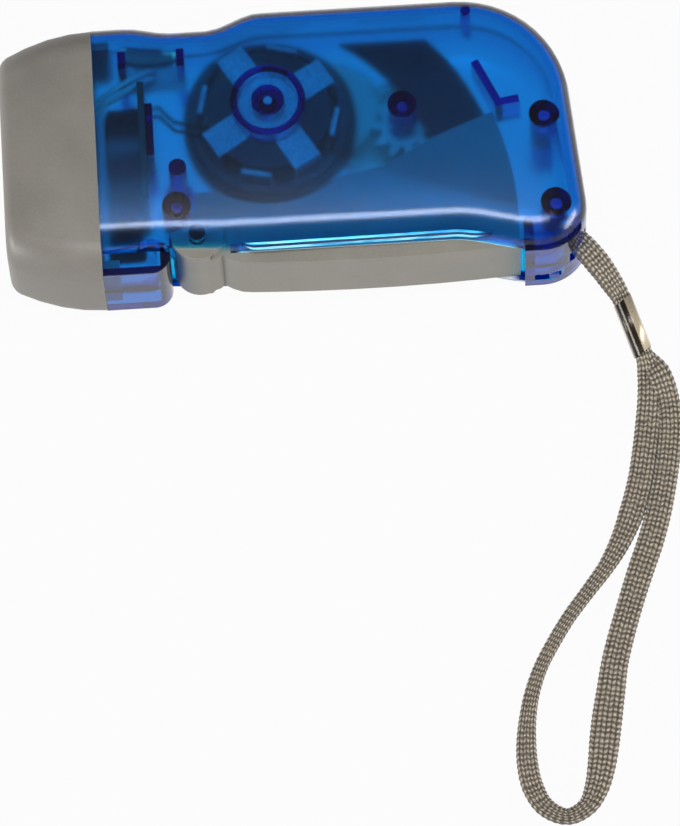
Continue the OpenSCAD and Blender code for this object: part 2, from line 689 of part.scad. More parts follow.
module lever() {
  color([0.55, 0.53, 0.49]) place() difference() {
    union() {
      slab(lever_z0, lever_z1) grip_plan(lever_wall);
      slab(lever_z0, lever_z0 + lever_wall) grip_plan(8);
      slab(lever_z1 - lever_wall, lever_z1) grip_plan(8);
      slab(lever_z1 - lever_wall, lever_z1) upper_plate_plan();
      slab(lever_z0, lever_z0 + lever_wall) lower_plate_plan();
      at(pivot) slab(mid_z - knuckle_w / 2, mid_z + knuckle_w / 2) cheek_plan();
      at(pivot) sector(lever_reach - lever_wall, lever_reach - snug, -5, 1, lever_z0 + snug, lever_z1 - snug);
      at(pivot) difference() {
        sector(
          tenon_in_r - 1.3, tenon_out_r + 1.2, tenon_a0 - 1.5, rack_a0 - 0.2,
          rack_z0, lever_z1 - lever_wall / 2
        );
        sector(tenon_in_r, tenon_out_r, tenon_a0, rack_a0 + 1, rack_z0 - 1, lever_z1 - lever_wall);
      }
    }
    at(pivot) rod(pivot_d / 2 + fit, 0, big);
    at(pivot) rod(knuckle_r + 0.3 - lever_wall, mid_z - ear_gap / 2, mid_z + ear_gap / 2);
    box(
      [pivot_x - knuckle_r - 3.3, -pivot_h - 2.4, mid_z - ear_gap / 2],
      [pivot_x + knuckle_r, -pivot_h + knuckle_r + 1.3, mid_z + ear_gap / 2]
    );
    at(rotor) rod(flywheel_d / 2 + 2.9, 0, big);
    for (a = [0 : 5 : 20]) at(pivot) rotate(a) at(screw_front - pivot) rod(boss_r + gap, 0, big);
    box(
      [grip_x1 - 4, catch_y0 - gap, mid_z - catch_half - gap],
      [grip_x1 + 2, catch_y1 + gap, mid_z + catch_half + gap]
    );
  }
}

// Black rack: inner teeth about the pivot, held in the lever by a tenon
module drive_rack() {
  radii = tooth_radii(rack_r, rack_m, tooth_down, tooth_up);
  k0 = ceil((rack_a0 - drive_angle) * rack_teeth / 360);
  k1 = floor((rack_a1 - drive_angle) * rack_teeth / 360);
  toothed = [for (k = [k0 : k1]) each tooth(rack_teeth, rack_m, -0.1, radii, k)];
  color([0.05, 0.05, 0.06]) place() difference() {
    union() {
      at(pivot, rack_z0) rotate(drive_angle) linear_extrude(rack_z1 - rack_z0)
        polygon(concat(toothed, arc([0, 0], rack_out_r, rack_a1 - drive_angle, rack_a0 - drive_angle, 24)));
      at(pivot) sector(tenon_in_r + snug, tenon_out_r - snug, tenon_a0 + 0.1, rack_a0 + 1, rack_z0, tenon_z1);
      at(pivot) sector(rack_rim_r, rack_out_r, rack_a0, rack_a1, input_z1 + gap, rack_z1);
    }
    box([0, rack_top, 0], [big, big, big]);
  }
}

module pivot_pin() {
  color([0.75, 0.76, 0.78]) place() at(pivot) rod(pivot_d / 2, pin_seat, body_t - pin_seat);
}

// Torsion spring on the pivot pin: one leg under the grip, one against the front screw boss
spring_z0 = mid_z - spring_turns * spring_pitch / 2;
spring_coil = [for (i = [0 : 8 * spring_turns]) let (a = -45 * i)
  [pivot.x + spring_r * cos(a), pivot.y + spring_r * sin(a), spring_z0 + spring_pitch * i / 8]];
spring_z1 = spring_z0 + spring_turns * spring_pitch;
boss_side = screw_front.x + boss_r + wire_r;
spring_path = concat(
  [[boss_side + 0.1, screw_front.y + 1, spring_z0], [boss_side + 0.9, screw_front.y - 0.2, spring_z0]],
  [[pivot.x + spring_r, pivot.y + 2.2, spring_z0]],
  spring_coil,
  [[pivot.x + 2.2, pivot.y + spring_r, spring_z1], [pivot.x + 5, pivot.y + 0.8, spring_z1]],
  [[grip_x0 + 6, grip_y(grip_x0 + 6) + lever_wall + wire_r + 0.1, spring_z1]]
);
spring_gap = min([for (i = [0 : len(spring_coil) - 1], j = [i + 5 : 1 : len(spring_coil) - 1])
  norm(spring_coil[i] - spring_coil[j])]) - 2 * wire_r;
module return_spring() {
  color([0.7, 0.71, 0.73]) place() wire(spring_path, 2 * wire_r);
}

// Catch in the heel block: its tongue slides under the lever's end wall, and its thumb pad shows outside
module lever_catch() {
  color([0.02, 0.25, 0.75]) place() {
    box([catch_x0, catch_y0, mid_z - catch_half], [pad_x1, catch_y1, mid_z + catch_half]);
    box([pad_x0, catch_y0, pad_z0], [pad_x1, catch_y1, mid_z]);
    box([pad_x0, 0.1 - block_h, pad_z0], [pad_x1, catch_y1, pad_z1]);
  }
}

// Self-tapping screws from the lower side
module case_screws() {
  color([0.6, 0.61, 0.63]) place() for (p = screws) at(p) difference() {
    union() {
      rod(screw_head_r, 0.6, 0.6 + screw_head_t);
      rod(screw_r, 1, mid_z + 6);
    }
    for (a = [0, 90]) rotate(a) box([-1.3, -0.25, 0], [1.3, 0.25, 1.2]);
  }
}

// Flywheel cup with the magnet ring inside its rim
module flywheel() {
  r = flywheel_d / 2;
  color([0.06, 0.06, 0.06]) place() at(rotor) rotate_extrude() polygon([
    [shaft_d / 2, fly_z0 - 0.5], [2.4, fly_z0 - 0.5], [2.4, fly_z0], [r - 0.5, fly_z0], [r, fly_z0 + 0.5],
    [r, fly_z1 - 0.5], [r - 0.5, fly_z1], [magnet_d / 2, fly_z1], [magnet_d / 2, fly_z0 + fly_web],
    [shaft_d / 2, fly_z0 + fly_web]
  ]);
}
module ring_magnet() {
  color([0.2, 0.2, 0.21]) place() at(rotor)
    tube(magnet_d / 2, claw_reach + 0.5, fly_z0 + fly_web, magnet_z1);
}
module rotor_shaft() {
  color([0.8, 0.81, 0.83]) place() at(rotor) rod(shaft_d / 2, seat_z + 0.1, roof_z - 0.2);
}
module rotor_pinion() {
  color([0.85, 0.8, 0.6]) place() at(rotor) difference() {
    rotate(to_rotor + 180 + 180 / pinion_teeth) gear(pinion_teeth, mid_m, 0.08, mid_z0 - 0.2, mid_z1 + 0.2);
    rod(shaft_d / 2, 0, big);
  }
}
module rotor_bush_upper() {
  color([0.75, 0.55, 0.25]) place() at(rotor)
    tube(core_bore_r, shaft_d / 2 + fit, stator_z1 - bush_len, stator_z1 - 0.1);
}
module rotor_bush_lower() {
  color([0.75, 0.55, 0.25]) place() at(rotor)
    tube(core_bore_r, shaft_d / 2 + fit, drive_z0, drive_z0 + bush_len);
}

// Claw plate: hub disc, four arms and their tips bent towards the other plate
module claw_plate(z0, tip_z0, tip_z1, bore) {
  difference() {
    union() {
      rod(hub_r, z0, z0 + plate_t);
      for (k = [0 : 3]) rotate(90 * k) {
        box([0, -claw_w / 2, z0], [claw_reach, claw_w / 2, z0 + plate_t]);
        box([claw_reach - plate_t, -claw_w / 2, tip_z0], [claw_reach, claw_w / 2, tip_z1]);
      }
    }
    rod(bore, 0, big);
  }
}
module stator_plate_upper() {
  color([0.78, 0.79, 0.8]) place() at(rotor) rotate(claw_turn)
    claw_plate(coil_z1, coil_z0 + 0.6, stator_z1, core_bore_r);
}
module stator_plate_lower() {
  color([0.78, 0.79, 0.8]) place() at(rotor) rotate(claw_turn + 45) {
    claw_plate(stator_z0, stator_z0, coil_z1 - 0.6, core_bore_r);
    tube(core_r, core_bore_r, coil_z0 - 0.1, coil_z1);
  }
}
bobbin_r = claw_reach - plate_t - 0.6;
winding_r = bobbin_r - 0.4;
module coil_bobbin() {
  color([0.9, 0.9, 0.85]) place() at(rotor) rotate_extrude() polygon([
    [core_r + snug, coil_z0], [bobbin_r, coil_z0], [bobbin_r, coil_z0 + 0.6], [core_r + 0.7, coil_z0 + 0.6],
    [core_r + 0.7, coil_z1 - 0.6], [bobbin_r, coil_z1 - 0.6], [bobbin_r, coil_z1], [core_r + snug, coil_z1]
  ]);
}
module coil_winding() {
  color([0.7, 0.35, 0.15]) place() at(rotor) tube(winding_r, core_r + 0.7, coil_z0 + 0.6, coil_z1 - 0.6);
}

// Input pinion with the ratchet of the one-way clutch on the same hub
ratchet_r = 5;
ratchet_teeth = 12;
module input_pinion() {
  color([0.9, 0.89, 0.84]) place() at(drive) difference() {
    union() {
      rotate(drive_angle) gear(pinion_teeth, rack_m, 0.1, input_z0, input_z1);
      rod(3, clutch_z0, input_z0 + 0.5);
      slab(clutch_z0, clutch_z1) polygon([for (k = [0 : ratchet_teeth - 1]) let (a = 360 * k / ratchet_teeth)
        each [polar(ratchet_r, a), polar(ratchet_r - 0.9, a + 2)]]);
    }
    rod(axle_d / 2 + fit, 0, big);
  }
}
pawl_at = polar(7.4, 60);
recess_r = 9.2;
module drive_gear() {
  color([0.93, 0.92, 0.88]) place() at(drive) difference() {
    rotate(to_mid) gear(drive_teeth, drive_m, 0.08, drive_z0, drive_z1);
    rod(axle_d / 2 + fit, 0, big);
    tube(recess_r, 0.1, clutch_z0 - 0.1, big);
    at(pawl_at) rod(0.6, 0, clutch_z0);
  }
}
// Springy pawl pinned to the drive gear, its tip at the ratchet's teeth
module clutch_pawl() {
  tip = polar(ratchet_r + 0.5, 15);
  color([0.3, 0.3, 0.32]) place() at(drive) {
    at(pawl_at) rod(1, clutch_z0 - 0.1, clutch_z1 - 0.2);
    at(pawl_at) rod(0.6, drive_z0, clutch_z0);
    slab(clutch_z0 - 0.1, clutch_z1 - 0.2)
      polygon([pawl_at + polar(0.9, 60), pawl_at + polar(0.9, 240), tip, tip + polar(0.7, 15)]);
  }
}
module gear_axle() {
  color([0.75, 0.76, 0.78]) place() at(drive) rod(axle_d / 2, seat_z, roof_z - 2);
}
module intermediate_gear() {
  color([0.93, 0.92, 0.88]) place() at(mid_axis) difference() {
    union() {
      rotate(to_mid + 180 + 180 / pinion_teeth) gear(pinion_teeth, drive_m, 0.08, drive_z0, mid_z0 + 0.5);
      rotate(to_rotor) gear(mid_teeth, mid_m, 0.08, mid_z0, mid_z1);
    }
    rod(axle_d / 2 + fit, 0, big);
  }
}
module intermediate_axle() {
  color([0.75, 0.76, 0.78]) place() at(mid_axis) rod(axle_d / 2, seat_z, mid_z1 + 0.4);
}

// Braided strap: two strands in the neck and the ferrule, one loop beyond it
strand = strap_t / 2 + 0.06;
function offset_path(p, d) = [for (i = [0 : len(p) - 1]) let (
    t = tangent(p, i),
    side = unit(cross(t, [0, 0, 1]))
  ) p[i] + cross(side, t) * d];
neck = concat(neck_points, [ferrule_a, ferrule_a + (ferrule_b - ferrule_a) / 2, ferrule_b]);
neck_out = offset_path(neck, strand);
neck_in = offset_path(neck, -strand);
strap_path = concat(neck_out, loop_points, [for (i = [len(neck) - 1 : -1 : 0]) neck_in[i]]);
pinch = 2.9;
neck_widths = concat(
  [for (i = [2 : len(neck_points)]) strap_w], [(strap_w + pinch) / 2, pinch, pinch, pinch]
);
strap_widths = concat(
  neck_widths, [for (p = loop_points) strap_w], [for (i = [len(neck) - 1 : -1 : 0]) neck_widths[i]]
);
module wrist_strap() {
  color([0.62, 0.58, 0.5]) place() skin(sweep_rings(strap_path, strap_widths, strap_t));
}
module ferrule_plan(w, t, r) {
  square([w - 2 * r, t], center = true);
  square([w, t - 2 * r], center = true);
  for (x = [-1, 1], y = [-1, 1]) translate([x * (w / 2 - r), y * (t / 2 - r)]) circle(r);
}
module strap_ferrule() {
  d = ferrule_b - ferrule_a;
  color([0.85, 0.85, 0.84]) place() translate((ferrule_a + ferrule_b) / 2)
    rotate(atan2(d.y, d.x)) rotate([0, acos(d.z / norm(d)), 0]) rotate(90)
    translate([0, 0, -ferrule_len / 2]) linear_extrude(ferrule_len) difference() {
      ferrule_plan(pinch + 0.9, 2 * strap_t + 1, 1.2);
      ferrule_plan(pinch + 0.14, 2 * strap_t + 0.3, 0.6);
    }
}

echo(spring_gap = spring_gap);
shell_upper();
shell_lower();
head_bezel();
lens();
reflector();
leds();
led_board();
switch_body();
switch_stem();
switch_slider();
control_board();
board_diodes();
rechargeable_cell();
lamp_wires();
coil_leads();
lever();
drive_rack();
pivot_pin();
return_spring();
lever_catch();
case_screws();
flywheel();
ring_magnet();
rotor_shaft();
rotor_pinion();
rotor_bush_upper();
rotor_bush_lower();
stator_plate_upper();
stator_plate_lower();
coil_bobbin();
coil_winding();
input_pinion();
drive_gear();
clutch_pawl();
gear_axle();
intermediate_gear();
intermediate_axle();
wrist_strap();
strap_ferrule();
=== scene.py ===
import math

import bmesh
import bpy
from mathutils import Matrix, Vector


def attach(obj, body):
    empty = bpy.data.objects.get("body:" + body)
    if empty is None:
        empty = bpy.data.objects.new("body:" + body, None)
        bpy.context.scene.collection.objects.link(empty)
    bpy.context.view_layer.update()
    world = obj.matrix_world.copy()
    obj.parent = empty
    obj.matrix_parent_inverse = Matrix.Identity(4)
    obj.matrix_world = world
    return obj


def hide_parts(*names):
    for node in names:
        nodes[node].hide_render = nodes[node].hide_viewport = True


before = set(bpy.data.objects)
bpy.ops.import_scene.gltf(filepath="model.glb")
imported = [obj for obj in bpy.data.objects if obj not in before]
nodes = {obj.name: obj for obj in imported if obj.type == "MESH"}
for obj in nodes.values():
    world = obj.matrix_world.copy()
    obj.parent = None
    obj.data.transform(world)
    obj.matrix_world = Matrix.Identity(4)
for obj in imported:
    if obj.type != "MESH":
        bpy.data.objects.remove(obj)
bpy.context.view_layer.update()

# Camera: the torch is seen from above its broad side, tipped towards the lever's edge.
# A long lens keeps it almost free of perspective, and the torch lies a few degrees round in the picture.
MM = 0.001
origin_x, origin_y = -35.2, -0.85
mid_plane = 12.5
seam = Vector((origin_x, origin_y, mid_plane)) * MM
view_tilt = math.radians(70)
view_roll = math.radians(3.4)
across = Vector((1, 0, 0))
upwards = Vector((0, math.sin(view_tilt), math.cos(view_tilt)))
right = math.cos(view_roll) * across - math.sin(view_roll) * upwards
top = math.sin(view_roll) * across + math.cos(view_roll) * upwards
target = seam + (41.0 * across - 46.4 * upwards) * MM
view_height = 149.8 * MM
view_distance = 1.5
camera_data = bpy.data.cameras.new("camera")
camera_data.sensor_width = 36
camera_data.lens = camera_data.sensor_width * view_distance / view_height
camera_data.clip_start = 0.01
camera = bpy.data.objects.new("camera", camera_data)
bpy.context.scene.collection.objects.link(camera)
back = right.cross(top)
camera.matrix_world = Matrix.Translation(target + back * view_distance) @ Matrix(
    (right, top, back)
).transposed().to_4x4()
bpy.context.scene.camera = camera
bpy.context.scene.view_settings.view_transform = "Standard"


# Wrist strap: a flat knitted cord, doubled at the heel, pinched in its ferrule and opening to a loop.
# The two strands leave the slot beside the heel's post, drop to the table and lie there.
def place(x, y, z):
    """Point of the shared frame, from millimetres counted from the front of the case."""
    return Vector((x + origin_x, y + origin_y, z)) * MM


heel_post = Vector((81.8, -15.4))
slot_turn = math.radians(-47)
post_reach = 2.7
post_side_x = heel_post.x + post_reach * math.cos(slot_turn)
post_side_y = heel_post.y + post_reach * math.sin(slot_turn)
neck_points = [
    place(post_side_x, post_side_y, mid_plane),
    place(86.6, -20.2, 12.4), place(89.2, -23.2, 11), place(91.6, -26.4, 8.6),
]
ferrule_start = place(93.1, -28.8, 6.8)
ferrule_end = place(96.3, -37.8, 3.4)
loop_points = [
    place(*point) for point in [
        (97.2, -41.5, 2), (97, -46, 1.2), (96.3, -51, 0.8), (95.4, -56, 0.8), (94.2, -61.5, 0.8),
        (92.3, -67.5, 0.8), (89.8, -73, 0.8), (87, -77.5, 0.8), (83.4, -82, 0.8), (79.8, -86.5, 0.8),
        (76.8, -91, 0.8), (74.2, -95.5, 0.8), (72.4, -100, 0.8), (71.3, -104.5, 0.8), (70.7, -109, 0.8),
        (70.6, -113.5, 0.8), (71.3, -118, 0.8), (73.3, -121.8, 0.8), (77, -123.8, 0.8), (80.6, -122.2, 0.8),
        (82.6, -118.8, 0.8), (83.8, -114.5, 0.8), (84.6, -110, 0.8), (85.4, -105.5, 0.8), (86.3, -101, 0.8),
        (87.3, -96, 0.8), (88.6, -91.5, 0.8), (90.1, -87, 0.8), (91.7, -82.5, 0.8), (93.4, -78, 0.8),
        (95.2, -73.5, 0.8), (97.1, -67.8, 0.8), (98.7, -61.5, 0.8), (99.8, -56, 0.8), (100.4, -51, 0.8),
        (100.2, -46, 1.2), (98.9, -41.5, 2.4),
    ]
]
strap_width = 4.4 * MM
pinched_width = 3.2 * MM
strap_thickness = 1.5 * MM
ring_step = 0.24 * MM
ring_points = 28
square_power = 0.7
strand_offset = strap_thickness / 2 + 0.06 * MM
stitch_length = 1.0 * MM
column_width = 0.73 * MM
up_axis = Vector((0, 0, 1))


def squared(value, power):
    """Coordinate on a unit circle pushed out towards a square."""
    return math.copysign(abs(value) ** power, value)


def heading(points, i):
    return (points[min(i + 1, len(points) - 1)] - points[max(i - 1, 0)]).normalized()


def beside(points, distance):
    made = []
    for i, point in enumerate(points):
        along = heading(points, i)
        made.append(point + along.cross(up_axis).normalized().cross(along) * distance)
    return made


neck = neck_points + [ferrule_start, (ferrule_start + ferrule_end) / 2, ferrule_end]
strap_points = beside(neck, strand_offset) + loop_points + beside(neck, -strand_offset)[::-1]
neck_widths = [strap_width] * (len(neck) - 4) + [(strap_width + pinched_width) / 2] + [pinched_width] * 3
loop_widths = [width * MM for width in (
    4.4, 4.5, 4.6, 4.6, 4.6, 4.7, 3.9, 3.1, 2.7, 2.6, 2.6, 2.6, 2.8, 3.1, 3.6, 3.9, 4.0, 3.6, 3.0,
    3.5, 4.5, 5.2, 5.6, 5.6, 5.3, 5.0, 4.9, 4.8, 4.8, 4.9, 4.9, 4.8, 4.6, 4.5, 4.4, 4.4, 4.4,
)]
strap_widths = neck_widths + loop_widths + neck_widths[::-1]


def smooth_line(points, step):
    """Points close together on a smooth curve through the given ones, each with its place on the route."""
    line = []
    for i in range(len(points) - 1):
        a, b = points[max(i - 1, 0)], points[i]
        c, d = points[i + 1], points[min(i + 2, len(points) - 1)]
        count = max(2, round((c - b).length / step))
        for k in range(count):
            t = k / count
            bend = (2 * a - 5 * b + 4 * c - d) * t**2
            curve = 2 * b + (c - a) * t + bend + (3 * b - a - 3 * c + d) * t**3
            line.append((curve / 2, i + t))
    line.append((points[-1], len(points) - 1))
    return line


def width_at(place_on_route):
    i = min(int(place_on_route), len(strap_widths) - 2)
    t = place_on_route - i
    return strap_widths[i] * (1 - t) + strap_widths[i + 1] * t


strap_line = smooth_line(strap_points, ring_step)
strap_centres = [point for point, where in strap_line]
strap_length = sum((b - a).length for a, b in zip(strap_centres, strap_centres[1:]))
bm = bmesh.new()
run_layer = bm.verts.layers.float.new("run")
width_layer = bm.verts.layers.float.new("width")
run = 0.0
rings = []
for i, (point, where) in enumerate(strap_line):
    run += (point - strap_centres[max(i - 1, 0)]).length
    along = heading(strap_centres, i)
    side = along.cross(up_axis).normalized()
    lift = side.cross(along)
    half_width = width_at(where) / 2
    circle = bmesh.ops.create_circle(bm, segments=ring_points, radius=1)["verts"]
    for v in circle:
        flat = Vector((squared(v.co.x, square_power), squared(v.co.y, square_power)))
        column = flat.x * strap_width / 2 / column_width
        slant = 0.25 if round(column - 0.5) % 2 else -0.25
        in_column = column - round(column - 0.5) - 0.5
        beat = math.cos(2 * math.pi * (run / stitch_length + slant * in_column))
        swell = 1 + 0.05 * beat - 0.1 * (2 * in_column) ** 2
        v[run_layer] = run
        v[width_layer] = flat.x * strap_width / 2
        sideways = side * flat.x * half_width * (0.97 + 0.03 * beat)
        v.co = point + sideways + lift * flat.y * swell * strap_thickness / 2
    rings.append(circle)
for first, second in zip(rings, rings[1:]):
    for k in range(len(first)):
        bm.faces.new((first[k - 1], first[k], second[k], second[k - 1]))
bm.faces.new(rings[0][::-1])
bm.faces.new(rings[-1])
bmesh.ops.recalc_face_normals(bm, faces=bm.faces)
for face in bm.faces:
    face.smooth = True


def new_piece(name, bm, body):
    """Object of a finished bmesh, riding on its body."""
    mesh = bpy.data.meshes.new(name)
    bm.to_mesh(mesh)
    bm.free()
    piece = bpy.data.objects.new(name, mesh)
    bpy.context.scene.collection.objects.link(piece)
    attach(piece, body)
    return piece


class Field:
    """One output in a material's node tree, so that a sum on it reads as a sum."""

    def __init__(self, tree, socket=None):
        self.tree = tree
        self.socket = socket

    def node(self, kind, settings=None, values=None, out=0):
        made = self.tree.nodes.new("ShaderNode" + kind)
        for name, value in (settings or {}).items():
            if name == "stops":
                ramp = made.color_ramp.elements
                for i, (position, colour) in enumerate(value):
                    stop = ramp[i] if i < 2 else ramp.new(position)
                    stop.position = position
                    stop.color = colour
            else:
                setattr(made, name, value)
        for name, value in (values or {}).items():
            if isinstance(value, Field):
                self.tree.links.new(value.socket, made.inputs[name])
            else:
                made.inputs[name].default_value = value
        return Field(self.tree, made.outputs[out] if made.outputs else None)

    def maths(self, operation, *values):
        return self.node("Math", {"operation": operation}, dict(enumerate(values)))

    def __add__(self, other):
        return self.maths("ADD", self, other)

    def __radd__(self, other):
        return self.maths("ADD", other, self)

    def __sub__(self, other):
        return self.maths("SUBTRACT", self, other)

    def __rsub__(self, other):
        return self.maths("SUBTRACT", other, self)

    def __mul__(self, other):
        return self.maths("MULTIPLY", self, other)

    def __rmul__(self, other):
        return self.maths("MULTIPLY", other, self)

    def between(self, low, high):
        """0 below low, 1 above high and a soft step from one to the other."""
        limits = {"Value": self, "From Min": low, "From Max": high}
        return self.node("MapRange", {"interpolation_type": "SMOOTHSTEP"}, limits)

    def blend(self, first, second):
        """Colour that goes from the first to the second as this value goes from 0 to 1."""
        return self.node("Mix", {"data_type": "RGBA"}, {0: self, 6: first, 7: second}, 2)


def colour(red, green, blue):
    """Linear colour of a value that is written as it shows on a screen."""
    linear = [c / 3294.6 if c <= 10 else ((c / 255 + 0.055) / 1.055) ** 2.4 for c in (red, green, blue)]
    return (*linear, 1)


def new_finish(name):
    finish = bpy.data.materials.new(name)
    finish.use_nodes = True
    finish.node_tree.nodes.clear()
    return finish, Field(finish.node_tree)


def object_place(field):
    return field.node("TexCoord", out=3)


def grain(field, size, detail=2, out=0):
    """Noise whose lumps are about this size."""
    inputs = {"Vector": object_place(field), "Scale": 1 / size, "Detail": detail}
    return field.node("TexNoise", None, inputs, out)


def bump(field, height, depth, strength=1):
    return field.node("Bump", None, {"Height": height, "Distance": depth, "Strength": strength})


def end_with(field, shader):
    field.node("OutputMaterial", None, {"Surface": shader})


def make_braid():
    finish, field = new_finish("knitted_strap")
    run = field.node("Attribute", {"attribute_name": "run"}, out=2) * (1 / stitch_length)
    column = field.node("Attribute", {"attribute_name": "width"}, out=2) * (1 / column_width)
    whole = field.maths("FLOOR", column)
    in_column = column - whole - 0.5
    odd = field.maths("MODULO", field.maths("ABSOLUTE", whole), 2)
    slant = odd * 2 - 1
    uneven = grain(field, 1.6 * MM, 3)
    turn = (run + slant * in_column * 0.3 + uneven * 0.9) * (2 * math.pi)
    beat = field.maths("COSINE", turn) * 0.5 + 0.5
    ridge = 1 - in_column * in_column * 3.4
    stitch = beat * 0.7 * ridge + ridge * 0.3
    fibre = grain(field, 0.2 * MM, 3)
    # Colour follows the stitch relief: darker in the grooves between stitches and at each column's edges as
    # painted shade, paler on the crests as painted highlight, with random tone from the uneven noise.
    painted_light_and_tone = (stitch + uneven * 0.5 - 0.25).between(0.05, 0.75)
    tone = painted_light_and_tone.blend(colour(70, 61, 51), colour(152, 140, 121))
    # Near-white fibre flecks on the stitch crests are painted highlights.
    tone = ((fibre * stitch).between(0.3, 0.55) * 0.7).blend(tone, colour(226, 216, 198))
    end_with(field, field.node("BsdfPrincipled", None, {
        "Base Color": tone, "Roughness": 0.8, "Sheen Weight": 0.25,
        "Normal": bump(field, stitch + fibre * 0.3, 0.25 * MM),
    }))
    return finish


strap = new_piece("knitted_wrist_strap", bm, "housing")
strap.data.materials.append(make_braid())
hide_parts("wrist_strap")


# Ferrule: a plated strip folded round both strands of the strap and crimped.
# Its section is a flat tube with a low ridge along the top, and its mouths are cut a little askew.
ferrule_half = 1.75 * MM
ferrule_rise = 1.7 * MM
ferrule_ridge = 0.5 * MM
ferrule_wall = 0.3 * MM
ferrule_square = 0.35
mouth_skew = 0.34
bm = bmesh.new()
across_layer = bm.verts.layers.float.new("across")
ferrule_along = (ferrule_end - ferrule_start).normalized()
ferrule_side = ferrule_along.cross(up_axis).normalized()
ferrule_up = ferrule_side.cross(ferrule_along)
outside = ((ferrule_start, 0), (ferrule_end, 0))
inside = ((ferrule_end, ferrule_wall), (ferrule_start, ferrule_wall))
mouths = []
for end, inset in outside + inside:
    mouth = bmesh.ops.create_circle(bm, segments=40, radius=1)["verts"]
    for v in mouth:
        flat = Vector((squared(v.co.x, ferrule_square), squared(v.co.y, ferrule_square)))
        sideways = flat.x * (ferrule_half - inset)
        height = flat.y * (ferrule_rise - inset) + max(flat.y, 0) * (1 - abs(flat.x)) * ferrule_ridge
        v[across_layer] = -flat.x if flat.y > 0 else 1
        v.co = end + ferrule_along * sideways * mouth_skew + ferrule_side * sideways + ferrule_up * height
    mouths.append({line for v in mouth for line in v.link_edges})
for first, second in zip(mouths, mouths[1:] + mouths[:1]):
    bmesh.ops.bridge_loops(bm, edges=list(first | second))
bmesh.ops.recalc_face_normals(bm, faces=bm.faces)
for face in bm.faces:
    face.smooth = True


# The ferrule's colour is painted light: its left facet is dark as painted shade and painted reflection of the
# strap, with a painted whitish glint line, and its right facet and underside are painted cream as the lit
# side, paler towards the outer edge as a painted highlight.
def make_plate():
    finish, field = new_finish("ferrule_painted_reflection")
    across = field.node("Attribute", {"attribute_name": "across"}, out=2)
    scratch = grain(field, 0.3 * MM, 4)
    facet = across.between(-0.04, 0.06)
    rough_place = across + scratch * 0.16
    # Whitish painted glint line along the dark facet, its edges wobbled by the scratch noise.
    painted_light_and_tone = rough_place.between(-0.66, -0.56) - rough_place.between(-0.5, -0.38)
    dark = painted_light_and_tone.blend(colour(44, 36, 24), colour(190, 184, 172))
    light = across.between(0.7, 0.95).blend(colour(186, 172, 146), colour(208, 202, 186))
    end_with(field, field.node("BsdfPrincipled", None, {
        "Base Color": facet.blend(dark, light), "Metallic": 0.25,
        "Roughness": scratch * 0.15 + 0.2, "Normal": bump(field, scratch, 0.01 * MM),
    }))
    return finish


ferrule = new_piece("crimped_ferrule", bm, "housing")
ferrule.data.materials.append(make_plate())
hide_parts("strap_ferrule")
place(86, -19.5, 12.4)
strap_centres[::4] + [strap_centres[-1]]


# Two halves of the case: clear blue moulded plastic, finely frosted on the broad faces.
# Each half is one moulding with its bosses, ribs and end blocks.
def moulded_copy(name, node, body, edge):
    """Copy of a solid, merged to one skin, with its edges rounded as a mould leaves them."""
    bm = bmesh.new()
    bm.from_mesh(nodes[node].data)
    bmesh.ops.remove_doubles(bm, verts=bm.verts, dist=0.002 * MM)
    bmesh.ops.dissolve_limit(bm, angle_limit=math.radians(0.6), verts=bm.verts, edges=bm.edges)
    for face in bm.faces:
        face.smooth = True
    for line in bm.edges:
        line.smooth = line.is_manifold and line.calc_face_angle(0) < math.radians(32)
    piece = new_piece(name, bm, body)
    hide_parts(node)
    rounding = piece.modifiers.new("rounding", "BEVEL")
    rounding.width = edge
    rounding.segments = 2
    rounding.limit_method = "ANGLE"
    rounding.angle_limit = math.radians(35)
    rounding.harden_normals = True
    return piece


def make_blue_shell():
    finish, field = new_finish("frosted_blue_shell")
    frost = grain(field, 0.24 * MM, 2)
    length = field.node("SeparateXYZ", None, {0: object_place(field)}, 0)
    depth = field.node("SeparateXYZ", None, {0: object_place(field)}, 1)
    level = field.node("SeparateXYZ", None, {0: object_place(field)}, 2)
    height = field.maths("ABSOLUTE", level - mid_plane * MM)
    broad = height.between(7 * MM, 11 * MM)
    low = 1 - depth.between(-18 * MM, 0)
    clear = field.node("BsdfPrincipled", None, {
        "Base Color": (1, 1, 1, 1), "Roughness": broad * 0.13 + 0.08,
        "Transmission Weight": 1, "IOR": 1.49,
        "Normal": bump(field, frost * broad * (low * 0.5 + 0.5), 0.05 * MM, 0.4),
    })
    cut_level = height.between(7.78 * MM, 7.86 * MM) - height.between(7.94 * MM, 8.02 * MM)
    cut_length = length.between(-11.2 * MM, -10 * MM) - length.between(38 * MM, 40 * MM)
    groove = depth.between(-20.75 * MM, -20.6 * MM) - depth.between(-20.45 * MM, -20.3 * MM)
    cut = cut_level * cut_length * (1 - depth.between(-19.4 * MM, -19.2 * MM)) * (1 - groove * 0.8)
    matt = field.node("BsdfDiffuse", None, {"Color": (0.95, 0.95, 0.95, 1)})
    plastic = field.node("MixShader", None, {0: cut * 0.9, 1: clear, 2: matt})
    lit = field.node("BsdfTransparent", None, {"Color": (0.96, 0.96, 0.96, 1)})
    surface = field.node("MixShader", None, {0: field.node("LightPath", out=1), 1: plastic, 2: lit})
    dye = field.node("VolumeAbsorption", None, {"Color": (0.05, 0.8, 0.944, 1), "Density": 2300})
    field.node("OutputMaterial", None, {"Surface": surface, "Volume": dye})
    return finish


blue_shell = make_blue_shell()
for half in ("upper", "lower"):
    piece = moulded_copy("case_half_" + half, "shell_" + half, "housing", 0.25 * MM)
    piece.data.materials.append(blue_shell)
